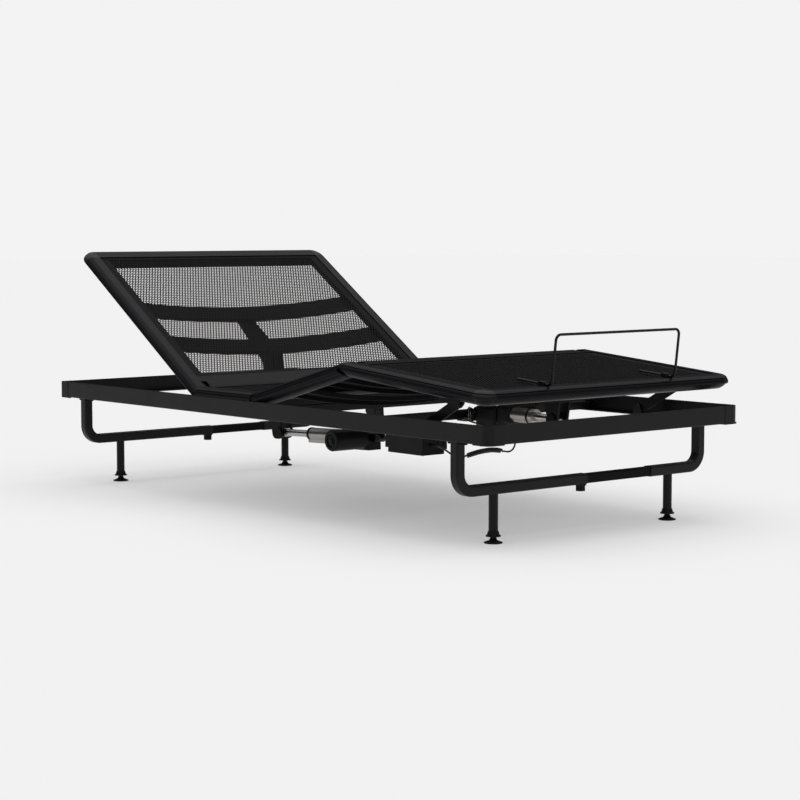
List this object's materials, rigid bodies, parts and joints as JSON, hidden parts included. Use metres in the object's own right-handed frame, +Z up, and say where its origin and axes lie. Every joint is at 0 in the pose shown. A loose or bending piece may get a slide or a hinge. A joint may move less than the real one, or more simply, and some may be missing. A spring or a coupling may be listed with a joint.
{
  "type": "adjustable bed base",
  "caption": "Black twin-size adjustable bed base: angle-rail frame on U-shaped stands, four folding mesh deck panels and linear drives that raise the back and knees.",
  "frame": {"origin": "on the floor, under the middle of the base", "axes": "+Z up, +Y towards the head end, +X towards the sleeper's left when lying on the back, seen as the right side from the foot"},
  "size_m": [0.96, 2.02, 0.7408],
  "materials": {
    "rail_paint": "satin black powder coat",
    "stand_paint": "satin black powder coat",
    "inner_bar": "satin black powder coat",
    "pin_steel": "zinc plated",
    "deck_bar": "fine satin charcoal coat on an extrusion",
    "deck_end_bar": "satin black coat",
    "deck_mesh": "open woven mesh",
    "member_paint": "satin black powder coat",
    "corner_plastic": "moulded, fine texture",
    "cap_plastic": "moulded, fine texture",
    "pad_rubber": "moulded",
    "knob_plastic": "moulded",
    "box_plastic": "moulded, fine texture",
    "circuit_board": "lacquered board",
    "lead_jacket": "smooth jacket",
    "drive_plastic": "moulded, fine texture",
    "drive_tube": "anodised, silver grey",
    "drive_rod": "polished steel",
    "retainer_paint": "black coated rod"
  },
  "bodies": {
    "base": {"side_rails": "rail_paint", "end_rails": "rail_paint", "corner_caps": "corner_plastic", "cross_tubes": "rail_paint", "frame_brackets": "rail_paint", "frame_pins": "pin_steel", "seat_bars": "deck_bar", "seat_end_bars": "deck_end_bar", "seat_mesh": "deck_mesh", "stand_foot_left": "stand_paint", "stand_foot_right": "stand_paint", "stand_head_left": "stand_paint", "stand_head_right": "stand_paint", "stand_inner_bars": "inner_bar", "leg_posts": "stand_paint", "leg_end_caps": "cap_plastic", "control_box_case": "box_plastic", "control_box_lid": "box_plastic", "control_board": "circuit_board", "head_motor_lead": "lead_jacket", "foot_lead_to_coil": "lead_jacket", "foot_lead_coil": "lead_jacket", "foot_lead_to_drive": "lead_jacket"},
    "back": {"back_bars": "deck_bar", "back_corners": "corner_plastic", "back_hinge_bar": "deck_end_bar", "back_mesh": "deck_mesh", "back_members": "member_paint", "back_lift_lever": "member_paint"},
    "thigh": {"thigh_bars": "deck_bar", "thigh_end_bars": "deck_end_bar", "thigh_mesh": "deck_mesh", "thigh_members": "member_paint", "thigh_knee_pins": "pin_steel"},
    "calf": {"calf_bars": "deck_bar", "calf_corners": "corner_plastic", "calf_knee_bar": "deck_end_bar", "calf_mesh": "deck_mesh", "calf_members": "member_paint", "calf_link_brackets": "member_paint", "calf_lift_arm": "member_paint", "retainer_bar": "retainer_paint", "retainer_clamps": "cap_plastic"},
    "links": {"swing_links": "member_paint"},
    "head_drive": {"head_drive_gearbox": "drive_plastic", "head_drive_motor": "drive_plastic", "head_drive_tube": "drive_tube"},
    "head_rod": {"head_drive_rod": "drive_rod", "head_drive_pin": "pin_steel"},
    "foot_drive": {"foot_drive_gearbox": "drive_plastic", "foot_drive_motor": "drive_plastic", "foot_drive_tube": "drive_tube"},
    "foot_rod": {"foot_drive_rod": "drive_rod", "foot_drive_pin": "pin_steel"},
    "knob_foot": {"lock_knob_foot": "knob_plastic"},
    "knob_head": {"lock_knob_head": "knob_plastic"},
    "pad_foot_left": {"levelling_foot_left": "pad_rubber"},
    "pad_foot_right": {"levelling_foot_right": "pad_rubber"},
    "pad_head_left": {"levelling_head_left": "pad_rubber"},
    "pad_head_right": {"levelling_head_right": "pad_rubber"}
  },
  "joints": [
    {"name": "back_tilt", "type": "hinge", "parent": "base", "child": "back", "pos_m": [0, 0.278, 0.33], "axis": [1, 0, 0], "range_deg": [-33.5, 26.5]},
    {"name": "thigh_lift", "type": "hinge", "parent": "base", "child": "thigh", "pos_m": [0, -0.027, 0.33], "axis": [-1, 0, 0], "range_deg": [-15.1, 14.9]},
    {"name": "knee_fold", "type": "hinge", "parent": "thigh", "child": "calf", "pos_m": [0, -0.4257, 0.4376], "axis": [1, 0, 0], "range_deg": [-19.95, 19.7]},
    {"name": "link_swing", "type": "hinge", "parent": "base", "child": "links", "pos_m": [0, -0.692, 0.294], "axis": [-1, 0, 0], "range_deg": [-29.6, 29.2]},
    {"name": "head_drive_tilt", "type": "hinge", "parent": "base", "child": "head_drive", "pos_m": [0, -0.01, 0.186], "axis": [1, 0, 0], "range_deg": [-13.5, 10.7]},
    {"name": "head_rod_slide", "type": "slide", "parent": "head_drive", "child": "head_rod", "axis": [0, 0.9993, -0.0366], "range_m": [-0.0932, 0.0737]},
    {"name": "foot_drive_tilt", "type": "hinge", "parent": "base", "child": "foot_drive", "pos_m": [0, -0.458, 0.3], "axis": [-1, 0, 0], "range_deg": [-14, 13.8]},
    {"name": "foot_rod_slide", "type": "slide", "parent": "foot_drive", "child": "foot_rod", "axis": [0, -0.9999, -0.0127], "range_m": [-0.0403, 0.0408]},
    {"name": "lock_knob_foot_turn", "type": "hinge", "parent": "base", "child": "knob_foot", "pos_m": [-0.013, -0.876, 0.1], "axis": [0, 0, 1], "continuous": true},
    {"name": "lock_knob_head_turn", "type": "hinge", "parent": "base", "child": "knob_head", "pos_m": [0.01, 0.886, 0.1], "axis": [0, 0, 1], "continuous": true},
    {"name": "pad_foot_left_screw", "type": "slide", "parent": "base", "child": "pad_foot_left", "axis": [0, 0, -1], "range_m": [0, 0.02]},
    {"name": "pad_foot_right_screw", "type": "slide", "parent": "base", "child": "pad_foot_right", "axis": [0, 0, -1], "range_m": [0, 0.02]},
    {"name": "pad_head_left_screw", "type": "slide", "parent": "base", "child": "pad_head_left", "axis": [0, 0, -1], "range_m": [0, 0.02]},
    {"name": "pad_head_right_screw", "type": "slide", "parent": "base", "child": "pad_head_right", "axis": [0, 0, -1], "range_m": [0, 0.02]}
  ],
  "couplings": [
    {"joint": "knee_fold", "follows": "thigh_lift", "ratio": 1.3179},
    {"joint": "link_swing", "follows": "thigh_lift", "ratio": 1.955},
    {"joint": "foot_drive_tilt", "follows": "thigh_lift", "ratio": 0.9237},
    {"joint": "foot_rod_slide", "follows": "thigh_lift", "m_per_rad": -0.1546},
    {"joint": "head_drive_tilt", "follows": "back_tilt", "ratio": 0.4013},
    {"joint": "head_rod_slide", "follows": "back_tilt", "m_per_rad": 0.159}
  ]
}
